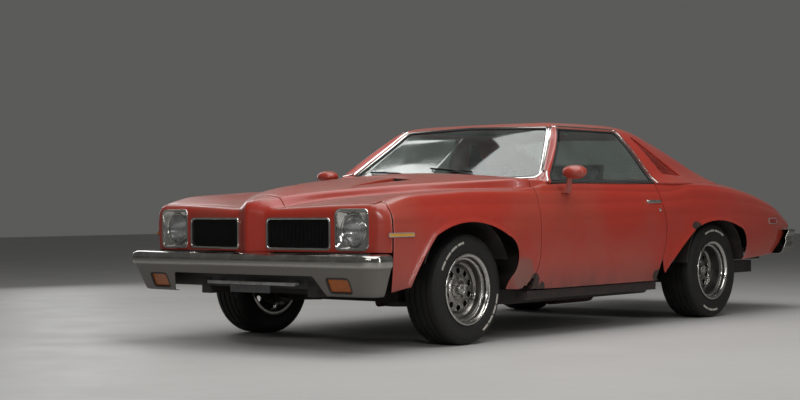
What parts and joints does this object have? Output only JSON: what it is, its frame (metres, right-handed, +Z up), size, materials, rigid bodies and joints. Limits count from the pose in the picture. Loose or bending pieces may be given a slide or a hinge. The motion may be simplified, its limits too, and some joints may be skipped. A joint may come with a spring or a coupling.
{
  "type": "muscle car coupe",
  "caption": "Two-door muscle car coupe with long ridged hood, chrome bumpers, round headlamps and louvred quarter windows; doors, hood, trunk lid, steering and wheels move.",
  "frame": {"origin": "on the ground under the middle of the car's box", "axes": "+Z up, the nose points to -Y, the car's left side is +X"},
  "size_m": [2.216, 5.2678, 1.35],
  "materials": {
    "body_paint": "faded gloss",
    "chrome": "bright plated",
    "grille_black": "matt black",
    "lamp_glass": "clear ribbed",
    "amber_lens": "clear amber",
    "red_lens": "clear red",
    "window_glass": "light tint",
    "chassis_black": "dull black",
    "engine_block": "painted",
    "exhaust_steel": "rusty",
    "trim_black": "grained",
    "seat_vinyl": "vinyl",
    "tyre": "black rubber"
  },
  "bodies": {
    "body": {"nose_panel": "body_paint", "fender_left": "body_paint", "fender_right": "body_paint", "quarter_left": "body_paint", "quarter_right": "body_paint", "roof": "body_paint", "tail_panel": "body_paint", "deck_strip": "body_paint", "louvres": "body_paint", "cowl_panel": "body_paint", "front_trim": "chrome", "front_bumper": "chrome", "rear_bumper": "chrome", "grilles": "grille_black", "plate_bracket": "grille_black", "headlamps": "lamp_glass", "turn_lamps": "amber_lens", "tail_lamps": "red_lens", "windshield": "window_glass", "rear_window": "window_glass", "chassis_frame": "chassis_black", "floor_pan": "chassis_black", "wheelhouses": "chassis_black", "engine_bay": "chassis_black", "front_suspension": "chassis_black", "rear_axle": "chassis_black", "fuel_tank": "chassis_black", "engine": "engine_block", "exhaust": "exhaust_steel", "dashboard": "trim_black", "front_seats": "seat_vinyl", "rear_seat": "seat_vinyl"},
    "hood": {"hood": "body_paint"},
    "trunk_lid": {"trunk_lid": "body_paint"},
    "door_left": {"door_left": "body_paint", "door_glass_left": "window_glass", "mirror_left": "body_paint"},
    "door_right": {"door_right": "body_paint", "door_glass_right": "window_glass", "mirror_right": "body_paint"},
    "steering_wheel": {"steering_wheel": "trim_black"},
    "steer_left": {"knuckle_left": "chassis_black"},
    "steer_right": {"knuckle_right": "chassis_black"},
    "wheel_front_left": {"wheel_front_left": "chrome", "tyre_front_left": "tyre"},
    "wheel_front_right": {"wheel_front_right": "chrome", "tyre_front_right": "tyre"},
    "wheel_rear_left": {"wheel_rear_left": "chrome", "tyre_rear_left": "tyre"},
    "wheel_rear_right": {"wheel_rear_right": "chrome", "tyre_rear_right": "tyre"}
  },
  "joints": [
    {"name": "hood_hinge", "type": "hinge", "parent": "body", "child": "hood", "pos_m": [0, -0.955, 0.985], "axis": [-1, 0, 0], "range_deg": [0, 50]},
    {"name": "trunk_hinge", "type": "hinge", "parent": "body", "child": "trunk_lid", "pos_m": [0, 1.516, 0.944], "axis": [1, 0, 0], "range_deg": [0, 68]},
    {"name": "door_left_hinge", "type": "hinge", "parent": "body", "child": "door_left", "pos_m": [0.925, -0.938, 0.6], "axis": [0, 0, -1], "range_deg": [0, 65]},
    {"name": "door_right_hinge", "type": "hinge", "parent": "body", "child": "door_right", "pos_m": [-0.925, -0.938, 0.6], "axis": [0, 0, 1], "range_deg": [0, 65]},
    {"name": "steer_left_kingpin", "type": "hinge", "parent": "body", "child": "steer_left", "pos_m": [0.655, -1.624, 0.322], "axis": [0, 0, 1], "range_deg": [-28, 28]},
    {"name": "steer_right_kingpin", "type": "hinge", "parent": "body", "child": "steer_right", "pos_m": [-0.655, -1.624, 0.322], "axis": [0, 0, 1], "range_deg": [-28, 28]},
    {"name": "steering_wheel_turn", "type": "hinge", "parent": "body", "child": "steering_wheel", "pos_m": [0.395, -0.5, 0.85], "axis": [0, 0.9063, 0.4226], "range_deg": [-392, 392]},
    {"name": "wheel_front_left_spin", "type": "hinge", "parent": "steer_left", "child": "wheel_front_left", "pos_m": [0.782, -1.624, 0.322], "axis": [1, 0, 0], "continuous": true},
    {"name": "wheel_rear_left_spin", "type": "hinge", "parent": "body", "child": "wheel_rear_left", "pos_m": [0.757, 1.221, 0.335], "axis": [1, 0, 0], "continuous": true},
    {"name": "wheel_front_right_spin", "type": "hinge", "parent": "steer_right", "child": "wheel_front_right", "pos_m": [-0.782, -1.624, 0.322], "axis": [1, 0, 0], "continuous": true},
    {"name": "wheel_rear_right_spin", "type": "hinge", "parent": "body", "child": "wheel_rear_right", "pos_m": [-0.757, 1.221, 0.335], "axis": [1, 0, 0], "continuous": true}
  ],
  "couplings": [
    {"joint": "steer_right_kingpin", "follows": "steer_left_kingpin", "ratio": 1},
    {"joint": "steering_wheel_turn", "follows": "steer_left_kingpin", "ratio": 14}
  ]
}
